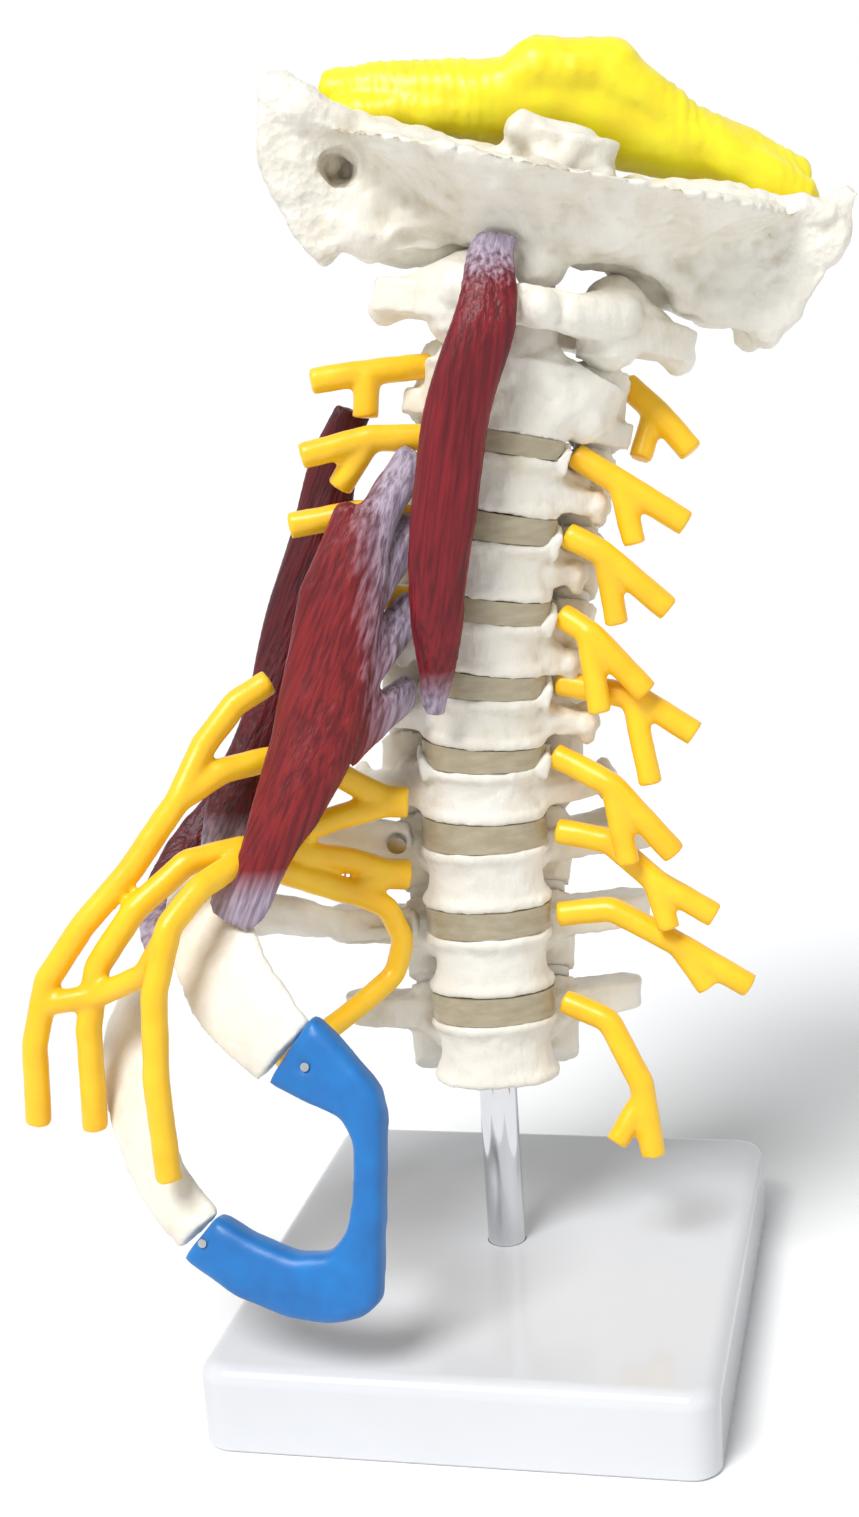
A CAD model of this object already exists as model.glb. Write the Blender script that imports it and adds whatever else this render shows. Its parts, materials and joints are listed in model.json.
import bmesh
import bpy
import json
import math
import numpy as np
from mathutils import Matrix, Vector, noise


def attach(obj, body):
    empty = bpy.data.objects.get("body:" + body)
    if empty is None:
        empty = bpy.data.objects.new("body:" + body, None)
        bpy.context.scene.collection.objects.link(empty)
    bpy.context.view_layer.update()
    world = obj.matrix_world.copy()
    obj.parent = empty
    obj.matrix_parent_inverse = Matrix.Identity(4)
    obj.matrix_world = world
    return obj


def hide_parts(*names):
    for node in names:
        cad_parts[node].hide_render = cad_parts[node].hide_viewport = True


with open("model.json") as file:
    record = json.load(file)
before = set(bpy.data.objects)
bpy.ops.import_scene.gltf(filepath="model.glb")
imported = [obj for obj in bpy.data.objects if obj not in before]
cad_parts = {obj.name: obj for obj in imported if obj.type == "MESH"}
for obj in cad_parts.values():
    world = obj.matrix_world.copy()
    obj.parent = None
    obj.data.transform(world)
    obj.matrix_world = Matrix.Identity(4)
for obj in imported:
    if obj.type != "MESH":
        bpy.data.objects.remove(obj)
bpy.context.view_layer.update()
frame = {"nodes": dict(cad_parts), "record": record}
nodes = frame["nodes"]
MM = 0.001
MM_PER_METRE = 1000

# Camera: where it stands and how it is turned, from the base's corners in the photograph
CAMERA_PLACE = Vector((0.0022, -0.5106, 0.2718))
CAMERA_YAW = math.radians(-1.55)
CAMERA_PITCH = math.radians(13.67)
CAMERA_ROLL = math.radians(-3.81)
CAMERA_LENS = 51.8
CAMERA_FILM = 36
CAMERA_NEAREST = 0.01

# Studio: brightness of the white that is seen and of the white that lights, floor and lamps
SEEN_WHITE = 1.0
LIT_WHITE = 0.36
FLOOR_REACH = 60.0
SUN_POWER = 3.0
SUN_SPREAD = math.radians(25)
SUN_DIRECTION = Vector((0.5, 0.75, -1.15))
FILL_PLACE = (0.9, -0.9, 0.8)
FILL_TARGET = (0, 0, 0.16)
FILL_SIZE = 1.0
FILL_POWER = 1.2


def add_camera():
    """Camera at the photograph's viewing angle."""
    forward = Vector((
        math.sin(CAMERA_YAW) * math.cos(CAMERA_PITCH),
        math.cos(CAMERA_YAW) * math.cos(CAMERA_PITCH),
        -math.sin(CAMERA_PITCH),
    ))
    level = Vector((math.cos(CAMERA_YAW), -math.sin(CAMERA_YAW), 0))
    upright = level.cross(forward)
    right = level * math.cos(CAMERA_ROLL) + upright * math.sin(CAMERA_ROLL)
    up = upright * math.cos(CAMERA_ROLL) - level * math.sin(CAMERA_ROLL)
    turn = Matrix((right, up, -forward)).transposed()
    data = bpy.data.cameras.new("camera")
    data.lens = CAMERA_LENS
    data.sensor_width = CAMERA_FILM
    data.clip_start = CAMERA_NEAREST
    camera = bpy.data.objects.new("camera", data)
    camera.matrix_world = Matrix.Translation(CAMERA_PLACE) @ turn.to_4x4()
    bpy.context.scene.collection.objects.link(camera)
    bpy.context.scene.camera = camera


def new_background(tree, colour, strength):
    """Background of one colour and brightness."""
    node = tree.nodes.new("ShaderNodeBackground")
    node.inputs["Color"].default_value = (*colour, 1)
    node.inputs["Strength"].default_value = strength
    return node.outputs[0]


def add_world():
    """White surroundings that look brighter than they light the model."""
    world = bpy.data.worlds.new("studio")
    bpy.context.scene.world = world
    world.use_nodes = True
    tree = world.node_tree
    tree.nodes.clear()
    out = tree.nodes.new("ShaderNodeOutputWorld")
    seen = new_background(tree, (1, 1, 1), SEEN_WHITE)
    lit = new_background(tree, (0.93, 0.96, 1), LIT_WHITE)
    path = tree.nodes.new("ShaderNodeLightPath")
    direct = calculate(tree, "MAXIMUM", path.outputs["Is Camera Ray"], path.outputs["Is Transmission Ray"])
    either = calculate(tree, "MAXIMUM", direct, path.outputs["Is Glossy Ray"])
    mix = tree.nodes.new("ShaderNodeMixShader")
    tree.links.new(either, mix.inputs[0])
    tree.links.new(lit, mix.inputs[1])
    tree.links.new(seen, mix.inputs[2])
    tree.links.new(mix.outputs[0], out.inputs[0])


def add_floor():
    """Pale paper under the base that keeps its shadow."""
    mesh = bpy.data.meshes.new("floor")
    corners = [(-1, -1), (1, -1), (1, 1), (-1, 1)]
    mesh.from_pydata([(x * FLOOR_REACH, y * FLOOR_REACH, 0) for x, y in corners], [], [(0, 1, 2, 3)])
    floor = bpy.data.objects.new("floor", mesh)
    bpy.context.scene.collection.objects.link(floor)
    paper, tree, shader = new_material("floor_paper")
    shader.inputs["Base Color"].default_value = (0.97, 0.97, 0.97, 1)
    shader.inputs["Roughness"].default_value = 0.9
    mesh.materials.append(paper)


def add_lamps():
    """Broad daylight from the upper left and a weak soft lamp from the right."""
    data = bpy.data.lights.new("daylight", "SUN")
    data.energy = SUN_POWER
    data.angle = SUN_SPREAD
    sun = bpy.data.objects.new("daylight", data)
    sun.rotation_euler = SUN_DIRECTION.to_track_quat("-Z", "Y").to_euler()
    bpy.context.scene.collection.objects.link(sun)
    data = bpy.data.lights.new("fill", "AREA")
    data.size = FILL_SIZE
    data.energy = FILL_POWER
    fill = bpy.data.objects.new("fill", data)
    fill.location = FILL_PLACE
    fill.rotation_euler = (Vector(FILL_TARGET) - Vector(FILL_PLACE)).to_track_quat("-Z", "Y").to_euler()
    bpy.context.scene.collection.objects.link(fill)


# Places of the two colours and of the result among the sockets of a mix node
MIX_FIRST = 6
MIX_SECOND = 7
MIX_RESULT = 2


def new_material(name):
    """Material with its node tree and Principled shader."""
    material = bpy.data.materials.new(name)
    material.use_nodes = True
    return material, material.node_tree, material.node_tree.nodes["Principled BSDF"]


def feed(tree, value, slot):
    """Give an input a number, or link another node's value to it."""
    if isinstance(value, (int, float)):
        slot.default_value = value
    else:
        tree.links.new(value, slot)


def calculate(tree, operation, *values):
    """Result of a math node over numbers and other nodes' values."""
    node = tree.nodes.new("ShaderNodeMath")
    node.operation = operation
    for value, slot in zip(values, node.inputs):
        feed(tree, value, slot)
    return node.outputs[0]


def mix_colours(tree, share, first, second, blend="MIX"):
    """Two colours blended by a share."""
    node = tree.nodes.new("ShaderNodeMix")
    node.data_type = "RGBA"
    node.blend_type = blend
    feed(tree, share, node.inputs["Factor"])
    tree.links.new(first, node.inputs[MIX_FIRST])
    tree.links.new(second, node.inputs[MIX_SECOND])
    return node.outputs[MIX_RESULT]


def object_place(tree):
    """Place in the object's own metres."""
    return tree.nodes.new("ShaderNodeTexCoord").outputs["Object"]


def along(tree, place, axis):
    """How far a place lies along one axis, in metres."""
    split = tree.nodes.new("ShaderNodeSeparateXYZ")
    tree.links.new(place, split.inputs[0])
    return split.outputs[axis]


def passage(tree, distance, start, end):
    """Share that goes from 0 to 1 while a distance goes from start to end, in millimetres."""
    node = tree.nodes.new("ShaderNodeMapRange")
    node.inputs["From Min"].default_value = start * MM
    node.inputs["From Max"].default_value = end * MM
    tree.links.new(distance, node.inputs["Value"])
    return node.outputs[0]


def stretched_noise(tree, place, scale, stretch=(1, 1, 1), detail=4.0, rough=0.55):
    """Noise over a place, stretched along an axis."""
    mapping = tree.nodes.new("ShaderNodeMapping")
    mapping.inputs["Scale"].default_value = stretch
    texture = tree.nodes.new("ShaderNodeTexNoise")
    texture.inputs["Scale"].default_value = scale
    texture.inputs["Detail"].default_value = detail
    texture.inputs["Roughness"].default_value = rough
    tree.links.new(place, mapping.inputs[0])
    tree.links.new(mapping.outputs[0], texture.inputs["Vector"])
    return texture.outputs["Fac"]


def ramp(tree, value, stops):
    """Colour ramp over a value: stops are (place, colour)."""
    node = tree.nodes.new("ShaderNodeValToRGB")
    elements = node.color_ramp.elements
    while len(elements) < len(stops):
        elements.new(0.5)
    for element, (place, colour) in zip(elements, stops):
        element.position = place
        element.color = (*colour, 1)
    tree.links.new(value, node.inputs[0])
    return node.outputs[0]


def bump(tree, shader, height, distance, strength=0.5, before=None):
    """Bump from a height value, over an earlier bump if there is one; distance is in metres."""
    node = tree.nodes.new("ShaderNodeBump")
    node.inputs["Distance"].default_value = distance
    node.inputs["Strength"].default_value = strength
    tree.links.new(height, node.inputs["Height"])
    if before:
        tree.links.new(before, node.inputs["Normal"])
    tree.links.new(node.outputs[0], shader.inputs["Normal"])
    return node.outputs[0]


# Air cells: the middle they keep away from, and a reach that lies beyond every bone
CELLS_MIDDLE = 22
NO_CELLS = (800, 801)


def bone_material(name, cells_from, cells_to):
    """Cast bone: cream with faint stains, grain and pits, and air cells from a distance outwards."""
    material, tree, shader = new_material(name)
    place = object_place(tree)
    stains = stretched_noise(tree, place, 60, (1, 1, 0.8), 5)
    colour = ramp(tree, stains, [
        (0.28, (0.66, 0.59, 0.46)), (0.42, (0.77, 0.73, 0.63)), (0.62, (0.84, 0.81, 0.73)),
    ])
    form = tree.nodes.new("ShaderNodeNewGeometry")
    hollows = ramp(tree, form.outputs["Pointiness"], [(0.42, (0.74, 0.68, 0.58)), (0.49, (1, 1, 1))])
    tree.links.new(mix_colours(tree, 1.0, colour, hollows, "MULTIPLY"), shader.inputs["Base Color"])
    shader.inputs["Roughness"].default_value = 0.42
    shader.inputs["Subsurface Weight"].default_value = 0.08
    shader.inputs["Subsurface Radius"].default_value = (0.004, 0.003, 0.002)
    grain = stretched_noise(tree, place, 420, (1, 1, 0.25), 5)
    first = bump(tree, shader, grain, 0.0009, 0.4)
    pits = stretched_noise(tree, place, 1500, (1, 1, 1), 3)
    second = bump(tree, shader, pits, 0.0003, 0.3, first)
    cells = tree.nodes.new("ShaderNodeTexVoronoi")
    cells.inputs["Scale"].default_value = 520
    tree.links.new(place, cells.inputs["Vector"])
    shifted = calculate(tree, "ADD", along(tree, place, "X"), -CELLS_MIDDLE * MM)
    away = calculate(tree, "ABSOLUTE", shifted)
    mask = passage(tree, away, cells_from, cells_to)
    depth = calculate(tree, "MULTIPLY", cells.outputs["Distance"], mask)
    bump(tree, shader, depth, 0.0006, 0.6, second)
    return material


def plain_material(name, light, dark, roughness, scale=90, bump_scale=700, depth=0.0002, metal=0.0):
    """Plastic or metal with slight colour drift and a fine uneven surface."""
    material, tree, shader = new_material(name)
    place = object_place(tree)
    drift = stretched_noise(tree, place, scale, (1, 1, 1), 4)
    tree.links.new(ramp(tree, drift, [(0.3, dark), (0.7, light)]), shader.inputs["Base Color"])
    shader.inputs["Roughness"].default_value = roughness
    shader.inputs["Metallic"].default_value = metal
    bump(tree, shader, stretched_noise(tree, place, bump_scale, (1, 1, 1), 3), depth, 0.25)
    return material


def disc_material():
    """Clear grey-brown plastic with a faint haze."""
    material, tree, shader = new_material("disc_clear")
    place = object_place(tree)
    haze = stretched_noise(tree, place, 180, (1, 1, 3), 4)
    colour = ramp(tree, haze, [(0.3, (0.50, 0.42, 0.27)), (0.7, (0.64, 0.56, 0.40))])
    tree.links.new(colour, shader.inputs["Base Color"])
    shader.inputs["Roughness"].default_value = 0.22
    shader.inputs["Transmission Weight"].default_value = 0.3
    shader.inputs["IOR"].default_value = 1.45
    bump(tree, shader, stretched_noise(tree, place, 300, (1, 1, 1), 3), 0.0003, 0.3)
    return material


# Muscles: how far the fibres fray into the upper tendon, the tendon's colours, the deep red of
# the muscles behind, and an upper tendon that lies beyond every muscle
FRAY = 12
TENDON_DARK = (0.20, 0.15, 0.20)
TENDON_LIGHT = (0.42, 0.35, 0.44)
DEEP_RED = ((0.10, 0.006, 0.011), (0.045, 0.003, 0.006))
NO_TENDON = ("Z", 900, 910)


def muscle_material(name, reds, slant, lower, upper=NO_TENDON):
    """Lengthwise fibres that fade to lilac-grey tendons: lower is along Z, upper names its axis."""
    light, dark = reds
    axis, upper_from, upper_to = upper
    material, tree, shader = new_material(name)
    place = object_place(tree)
    turn = tree.nodes.new("ShaderNodeVectorRotate")
    turn.rotation_type = "Y_AXIS"
    turn.inputs["Angle"].default_value = math.radians(-slant)
    tree.links.new(place, turn.inputs["Vector"])
    fibres = stretched_noise(tree, turn.outputs[0], 950, (1, 1, 0.02), 2, 0.5)
    red = ramp(tree, fibres, [(0.36, dark), (0.62, light)])
    grey = ramp(tree, fibres, [(0.34, TENDON_DARK), (0.62, TENDON_LIGHT)])
    low = passage(tree, along(tree, place, "Z"), *lower)
    frayed = calculate(tree, "MULTIPLY_ADD", fibres, FRAY * MM, along(tree, place, axis))
    high = passage(tree, frayed, upper_from + FRAY / 2, upper_to + FRAY / 2)
    tendon = calculate(tree, "MAXIMUM", low, high)
    tree.links.new(mix_colours(tree, tendon, red, grey), shader.inputs["Base Color"])
    shader.inputs["Roughness"].default_value = 0.42
    shader.inputs["Specular IOR Level"].default_value = 0.3
    bump(tree, shader, fibres, 0.0009, 0.6)
    return material


materials = {
    "bone": bone_material("bone", *NO_CELLS),
    "base_white": plain_material(
        "base_white", (0.68, 0.69, 0.71), (0.65, 0.66, 0.68), 0.12,
        scale=20, bump_scale=900, depth=0.00004),
    "rod_chrome": plain_material(
        "rod_chrome", (0.72, 0.73, 0.75), (0.66, 0.67, 0.69), 0.08,
        scale=60, bump_scale=900, depth=0.00002, metal=1.0),
    "steel": plain_material(
        "steel", (0.56, 0.56, 0.56), (0.42, 0.42, 0.42), 0.32,
        scale=300, bump_scale=2000, depth=0.00005, metal=1.0),
    "brass": plain_material(
        "brass", (0.75, 0.58, 0.28), (0.62, 0.46, 0.2), 0.3,
        scale=300, bump_scale=2000, depth=0.00005, metal=1.0),
    "disc_clear": disc_material(),
    "pad_clear": plain_material("pad_clear", (0.80, 0.79, 0.74), (0.70, 0.68, 0.62), 0.3),
    "nerve_yellow": plain_material("nerve_yellow", (0.98, 0.60, 0.015), (0.93, 0.50, 0.008), 0.34),
    "brain_yellow": plain_material("brain_yellow", (0.92, 0.83, 0.015), (0.83, 0.64, 0.008), 0.38),
    "cord_orange": plain_material("cord_orange", (0.28, 0.07, 0.008), (0.20, 0.045, 0.006), 0.4),
    "muscle_red": muscle_material("muscle_red", DEEP_RED, 27, (141, 134)),
    "cartilage_blue": plain_material("cartilage_blue", (0.005, 0.18, 0.53), (0.008, 0.12, 0.38), 0.42),
}
looks = {
    "skull_base": bone_material("bone_cells", 40, 48),
    "longus_capitis": muscle_material(
        "muscle_longus", ((0.20, 0.010, 0.016), (0.10, 0.005, 0.009)), 11, (174, 166), ("Z", 259, 266)),
    "scalenus_anterior": muscle_material(
        "muscle_front", ((0.22, 0.014, 0.016), (0.11, 0.006, 0.009)), 23, (133, 126), ("X", -25, -16)),
    "scalenus_medius": muscle_material("muscle_middle", DEEP_RED, 22, (141, 134)),
    "scalenus_posterior": muscle_material("muscle_rear", DEEP_RED, 37, (122, 112)),
}
slot_of = {row["node"]: row["material_slot"] for row in frame["record"]["subparts"]}


def look_of(name):
    """A node's own look, or else the material of its slot."""
    return looks.get(name, materials[slot_of[name]])


def dress_nodes():
    """Give every CAD node its material."""
    for name, thing in nodes.items():
        thing.data.materials.clear()
        thing.data.materials.append(look_of(name))


# Levels of the spine from the lowest one up, in millimetres and degrees as in the solids: body
# width, depth and height, sideways and forward lean, and the disc that lies on top of the body
COLUMN = [
    ("t3", 31.5, 19.0, 17.0, 0, 2, 7.0),
    ("t2", 31.0, 18.5, 15.5, 0, 3, 6.8),
    ("t1", 31.5, 18.0, 15.5, 1, 5, 7.2),
    ("c7", 30.5, 17.5, 13.5, 3, 7, 5.4),
    ("c6", 30.0, 17.0, 12.6, 6, 7, 5.4),
    ("c5", 28.5, 16.5, 12.6, 9, 5, 5.0),
    ("c4", 26.5, 16.0, 13.6, 10, 2, 5.8),
    ("c3", 25.0, 16.0, 13.6, 12, -2, 4.2),
    ("c2", 23.0, 16.0, 17.0, 13, -6, 0.0),
]
LOWEST_SEAT = (0.3, -1.0, 65.5)
ATLAS_RISE = 19.0
ATLAS_SIDE = 13
ATLAS_LEAN = -8
SKULL_BACK = 4
SKULL_RISE = 26.5
SKULL_SIDE = 14
LEVEL_DIGITS = 1


def leaning_axes(side, lean):
    """Directions across, back and up where the spine leans to the side and to the front."""
    side, lean = math.radians(side), math.radians(lean)
    up = Vector((math.sin(side), -math.sin(lean), math.cos(side) * math.cos(lean))).normalized()
    across = Vector((math.cos(side), 0, -math.sin(side)))
    across = (across - up * across.dot(up)).normalized()
    return across, up.cross(across), up


def stack_levels():
    """Middle and leans of each level on the disc below it, then of the atlas and the skull."""
    levels = {"world": (Vector(), 0, 0)}
    seat = Vector(LOWEST_SEAT)
    for name, width, depth, height, side, lean, disc in COLUMN:
        up = leaning_axes(side, lean)[2]
        middle = seat + up * (height / 2)
        seat = middle + up * (height / 2 + disc)
        levels[name] = (middle, side, lean)
    atlas = middle + up * ATLAS_RISE
    across, back, up = leaning_axes(ATLAS_SIDE, ATLAS_LEAN)
    levels["c1"] = (atlas, ATLAS_SIDE, ATLAS_LEAN)
    levels["skull"] = (atlas + back * SKULL_BACK + up * SKULL_RISE, SKULL_SIDE, 0)
    return levels


LEVELS = stack_levels()
BODIES = {name: (width, depth, height) for name, width, depth, height, side, lean, disc in COLUMN}


def level_matrix(name):
    """Matrix from a level's own millimetres to the scene's metres."""
    middle, side, lean = LEVELS[name]
    place = Vector([round(value, LEVEL_DIGITS) for value in middle])
    turn = Matrix(leaning_axes(side, lean)).transposed().to_4x4()
    return Matrix.Translation(place * MM) @ turn @ Matrix.Scale(MM, 4)


# Casting: spacing of a limb's balls as a share of their radius, and how far each pass smooths
BALL_SPACING = 0.4
SMOOTH_SHARE = 0.5


def limb(builder, matrix, start, end, first, last):
    """Row of balls from one point to another whose radius changes on the way."""
    start, end = Vector(start), Vector(end)
    steps = max(2, int((end - start).length / (min(first, last) * BALL_SPACING)))
    for number in range(steps + 1):
        share = number / steps
        radius = first + (last - first) * share
        ball = matrix @ Matrix.Translation(start.lerp(end, share))
        bmesh.ops.create_icosphere(builder, subdivisions=2, radius=radius, matrix=ball)


def cast_over(name, voxel, smoothing, lift, limbs=(), level="world"):
    """A node's form joined with more limbs, its edges soft as in a casting from a real bone.

    A limb is its start, its end and its radius at both, in millimetres of the named level.
    """
    builder = bmesh.new()
    builder.from_mesh(nodes[name].data)
    for row in limbs:
        limb(builder, level_matrix(level), *row)
    mesh = bpy.data.meshes.new(name + "_cast")
    builder.to_mesh(mesh)
    builder.free()
    piece = bpy.data.objects.new(name + "_cast", mesh)
    bpy.context.scene.collection.objects.link(piece)
    remesh = piece.modifiers.new("remesh", "REMESH")
    remesh.mode = "VOXEL"
    remesh.voxel_size = voxel
    smooth = piece.modifiers.new("smooth", "SMOOTH")
    smooth.iterations = smoothing
    smooth.factor = SMOOTH_SHARE
    depsgraph = bpy.context.evaluated_depsgraph_get()
    done = bpy.data.meshes.new_from_object(piece.evaluated_get(depsgraph))
    piece.modifiers.clear()
    piece.data = done
    lift_surface(done, lift)
    done.shade_smooth()
    done.materials.clear()
    done.materials.append(look_of(name))
    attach(piece, "root")
    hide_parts(name)
    return piece


def lift_surface(mesh, lift):
    """Move every vertex along its normal by what lift says of its place."""
    count = len(mesh.vertices)
    places = np.empty(count * 3)
    normals = np.empty(count * 3)
    mesh.vertices.foreach_get("co", places)
    mesh.vertices.foreach_get("normal", normals)
    places = places.reshape(-1, 3)
    normals = normals.reshape(-1, 3)
    lifts = np.array([lift(Vector(place) * MM_PER_METRE) for place in places]) * MM
    places += normals * lifts[:, None]
    mesh.vertices.foreach_set("co", places.ravel())
    mesh.update()


def bone_lift(place):
    """Broad unevenness with finer pits, in millimetres."""
    return noise.fractal(place * 0.14, 0.8, 2.1, 4) * 0.45


def skull_lift(place):
    """Hollows and swellings of the skull base with finer pits, in millimetres."""
    return noise.fractal(place * 0.09, 1.0, 2.1, 3) * 1.9 + noise.noise(place * 0.5) * 0.12


def soft_lift(place):
    """Faint unevenness of soft plastic, in millimetres."""
    return noise.noise(place * 0.2) * 0.15


# Brain stem: its middle, and where its folds start and reach their full height beside it
BRAIN_MIDDLE = 31
FOLDS_START = 16
FOLDS_BLEND = 8


def brain_lift(place):
    """Cross folds along both arms and faint unevenness, in millimetres."""
    away = abs(place.x - BRAIN_MIDDLE)
    folds = math.sin(place.x * 2.4 + noise.noise(place * 0.2) * 4) * 0.2
    on_arms = min(1.0, max(0.0, (away - FOLDS_START) / FOLDS_BLEND))
    in_patches = min(1.0, max(0.0, noise.noise(place * 0.08) * 2 + 0.7))
    folds *= on_arms * in_patches
    return folds + noise.noise(place * 0.16) * 0.5


def muscle_lift(place):
    """Long furrows of muscle strands, in millimetres."""
    across = place.x - place.z * 0.4
    strand = noise.noise(Vector((across * 0.45, place.y * 0.3, place.z * 0.04)))
    return strand * 0.35


# Rims of the bodies: limbs in a round, their radius, and how far in they lie from the edge
RIM_TURNS = 24
RIM_RADIUS = 1.5
NECK_INSET = 1.3
CHEST_INSET = 1.4

# Reach, droop and sweep of the neck vertebrae's side processes, as in the solids
NECK_PROCESSES = {
    "c3": (8.5, 2.4, 6.0),
    "c4": (4.6, 0.5, 4.5),
    "c5": (4.8, 3.6, 3.0),
    "c6": (9.0, 1.5, 2.5),
    "c7": (14.0, 2.0, 10.0),
}


def rim_limbs(width, depth, height, inset):
    """Rounded rims round the top and the underside of a body, in its own frame."""
    step = 360 / RIM_TURNS
    rows = []
    for turn in range(RIM_TURNS):
        angle = math.radians(turn * step)
        spot = (math.cos(angle) * (width / 2 - inset), math.sin(angle) * (depth / 2 - inset))
        after = math.radians(turn * step + step)
        there = (math.cos(after) * (width / 2 - inset), math.sin(after) * (depth / 2 - inset))
        for end in (-1, 1):
            rise = end * (height / 2 - RIM_RADIUS)
            rows.append(((*spot, rise), (*there, rise), RIM_RADIUS, RIM_RADIUS))
    return rows


def neck_limbs(name, reach, droop, sweep):
    """Flowing roots and ridges of a neck vertebra's side processes, its lips and its rims."""
    width, depth, height = BODIES[name]
    edge = width / 2
    rows = []
    for side in (-1, 1):
        tip = side * (edge + reach)
        rows.append(((side * (edge - 4), 0.5, 0), (tip - side * 1.5, sweep - 1, -droop), 4.4, 2.6))
        rows.append(((side * (edge - 4), 2, height * 0.25), (side * (edge + 3), 8, 1), 3.0, 3.4))
        rows.append((
            (tip, sweep - 1.5, -droop + 1.5), (tip + side * 0.6, sweep - 2, -droop - 2.8), 2.0, 2.2))
        rows.append((
            (tip, sweep + 3, -droop + 2.5), (tip + side * 1.2, sweep + 4, -droop - 2.2), 2.0, 2.0))
        rows.append((
            (side * (edge - 3), 0, height / 2 - 3), (side * (edge - 0.4), 0.5, height / 2 + 3.6), 2.6, 0.9))
    return rows + rim_limbs(width, depth, height, NECK_INSET)


def chest_limbs(name):
    """Roots and length of a chest vertebra's side processes, and its rims."""
    width, depth, height = BODIES[name]
    edge = width / 2
    rows = []
    for side in (-1, 1):
        rows.append(((side * (edge - 4), 5, 2), (side * 15, 13, 2), 4.0, 4.5))
        rows.append(((side * 16, 14, 3), (side * 30, 17, 5), 4.6, 4.0))
    return rows + rim_limbs(width, depth, height, CHEST_INSET)


def cast_vertebrae():
    """Neck and chest vertebrae below the axis."""
    for name, process in NECK_PROCESSES.items():
        cast_over("vertebra_" + name, 0.0007, 5, bone_lift, neck_limbs(name, *process), name)
    for name in ("t1", "t2", "t3"):
        cast_over("vertebra_" + name, 0.0008, 5, bone_lift, chest_limbs(name), name)


def cast_axis():
    """Axis with its shoulders and side processes."""
    rows = []
    for side in (-1, 1):
        rows.append(((side * 6, 0, -3), (side * 15, 5, 5), 7.0, 6.5))
        rows.append(((side * 13, 5, 0), (side * 23, 11, -4.5), 5.0, 3.2))
        rows.append(((side * 9, 0, -6), (side * 3, -1, 8), 3.5, 5.5))
        rows.append(((side * 4, -2, 4), (side * 15, 3, -3), 5.5, 5.5))
    cast_over("axis_c2", 0.0007, 6, bone_lift, rows, "c2")


def cast_atlas():
    """Atlas with its side masses, wings and front arch."""
    rows = []
    for side in (-1, 1):
        rows.append(((side * 17, 1, -3), (side * 17, 2, 4), 7.8, 7.8))
        rows.append(((side * 17, 1, 4), (side * 31, 8, -1), 6.8, 4.8))
        rows.append(((side * 31, 8, -1), (side * 34.5, 10, -4), 4.8, 4.0))
        rows.append(((side * 7, -11, 0), (side * 17, -3, 2), 4.0, 6.5))
    cast_over("atlas_c1", 0.0007, 6, bone_lift, rows, "c1")


def cast_skull():
    """Skull base with the relief of its front, its outer corners and a filled right ear canal."""
    plug = [
        ((-12, -9, -6), (-13, -9, 4), 5, 5),
        ((9, -9, -6), (8, -9, 4), 5, 5),
        ((-10, -9, 12), (2, -9, 11), 5, 5.5),
        ((-2, -9, -14), (-3, -10, 6), 7, 7.5),
    ]
    ridges = [
        ((-14, -8, -4), (-34, -3, -12), 5, 3.5),
        ((10, -8, -4), (32, -3, -14), 5, 3.5),
        ((-16, -5, 3), (-60, -2, 8), 4, 4),
        ((14, -5, 2), (60, -2, 8), 4, 4),
        ((-36, -2, -16), (-48, 0, -14), 4, 5),
        ((32, -2, -17), (47, 0, -15), 4, 5),
        ((-60, -1, 8), (-66, 0, 14), 4, 2),
        ((60, -1, 8), (64, 0, 13), 4, 2),
    ]
    ear_fill = [((49.5, 2, -2.5), (49.5, 14, -2.5), 5.6, 5.6)]
    rows = plug + ridges + ear_fill
    for side in (-1, 1):
        rows.append(((side * 50, 8, -12), (side * 50, 8, -22), 7, 3.4))
        rows.append(((side * 57, 10, 0), (side * 62, 10, 6), 8, 6))
        rows.append(((side * 20, 4, -14), (side * 34, 6, -18), 5, 4.5))
        rows.append(((side * 18, -2, 2), (side * 40, 0, 6), 6, 5))
    cast_over("skull_base", 0.0010, 4, skull_lift, rows, "skull")


def cast_ribs():
    """Both ribs and their cartilage."""
    for name in ("rib_1", "rib_2"):
        cast_over(name, 0.0008, 8, bone_lift)
    cast_over("costal_cartilage", 0.0009, 34, soft_lift)


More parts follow.
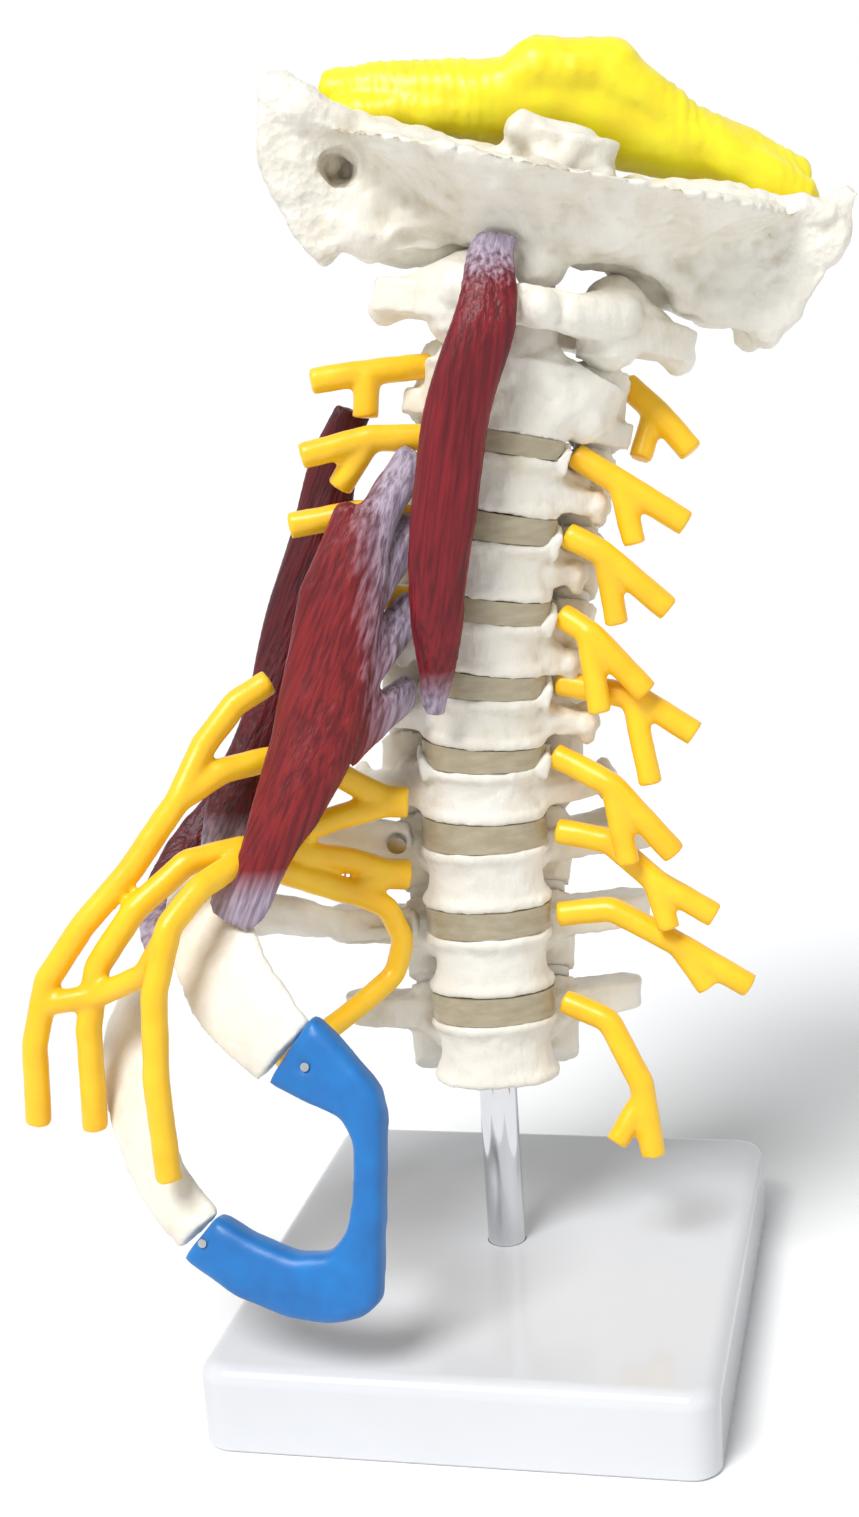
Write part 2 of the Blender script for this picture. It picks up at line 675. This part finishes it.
def cast_brain_stem():
    """Brain stem with a fuller crown and arms."""
    rows = [
        ((23, 10, 304), (39, 10, 303), 8.5, 8.5),
        ((12, 10, 298), (22, 10, 303), 6, 8),
        ((40, 10, 301), (57, 11, 288), 8.5, 7),
        ((57, 11, 288), (81, 9, 273), 7, 5.5),
        ((10, 10, 297), (-24, 9, 298), 7, 3.6),
    ]
    cast_over("brain_stem", 0.0009, 6, brain_lift, rows)


# Strands of the front scalene muscle: three long ones, then its short slips to the vertebrae
STRAND_RADIUS = 3.2
FRONT_STRANDS = [
    [(-26, -19, 210), (-35, -22, 193), (-39, -23, 178), (-44, -26, 160), (-50, -31, 143),
     (-54, -34, 131)],
    [(-24, -20, 205), (-28, -22, 190), (-31, -24, 175), (-36, -26, 160), (-45, -31, 143)],
    [(-21, -19, 203), (-22, -21, 190), (-24, -22, 178), (-24, -22, 168), (-34, -26, 154),
     (-43, -31, 141), (-50, -34, 130)],
    [(-12, -14, 221), (-22, -18, 208)],
    [(-12, -14, 206), (-21, -18, 196)],
    [(-14, -15, 188), (-24, -20, 178)],
    [(-16, -14, 168), (-26, -22, 163)],
]


def cast_muscles():
    """Front scalene muscle with its strands, then the other muscles."""
    rows = []
    for strand in FRONT_STRANDS:
        for start, end in zip(strand, strand[1:]):
            rows.append((start, end, STRAND_RADIUS, STRAND_RADIUS))
    cast_over("scalenus_anterior", 0.0007, 10, muscle_lift, rows)
    for name in ("longus_capitis", "scalenus_medius", "scalenus_posterior"):
        cast_over(name, 0.0007, 8, muscle_lift)


def cast_nerves():
    """Every nerve and the arm plexus; the left root of C2 is lengthened to the axis."""
    roots = {"nerve_left_c2": [((-10.8, -1, 240.5), (-5, 2, 240.5), 3.2, 3.2)]}
    for name in nodes:
        if slot_of[name] == "nerve_yellow":
            cast_over(name, 0.0006, 12, soft_lift, roots.get(name, ()))


bpy.context.scene.view_settings.view_transform = "Standard"
add_camera()
add_world()
add_floor()
add_lamps()
dress_nodes()
cast_vertebrae()
cast_axis()
cast_atlas()
cast_skull()
cast_ribs()
cast_brain_stem()
cast_muscles()
cast_nerves()
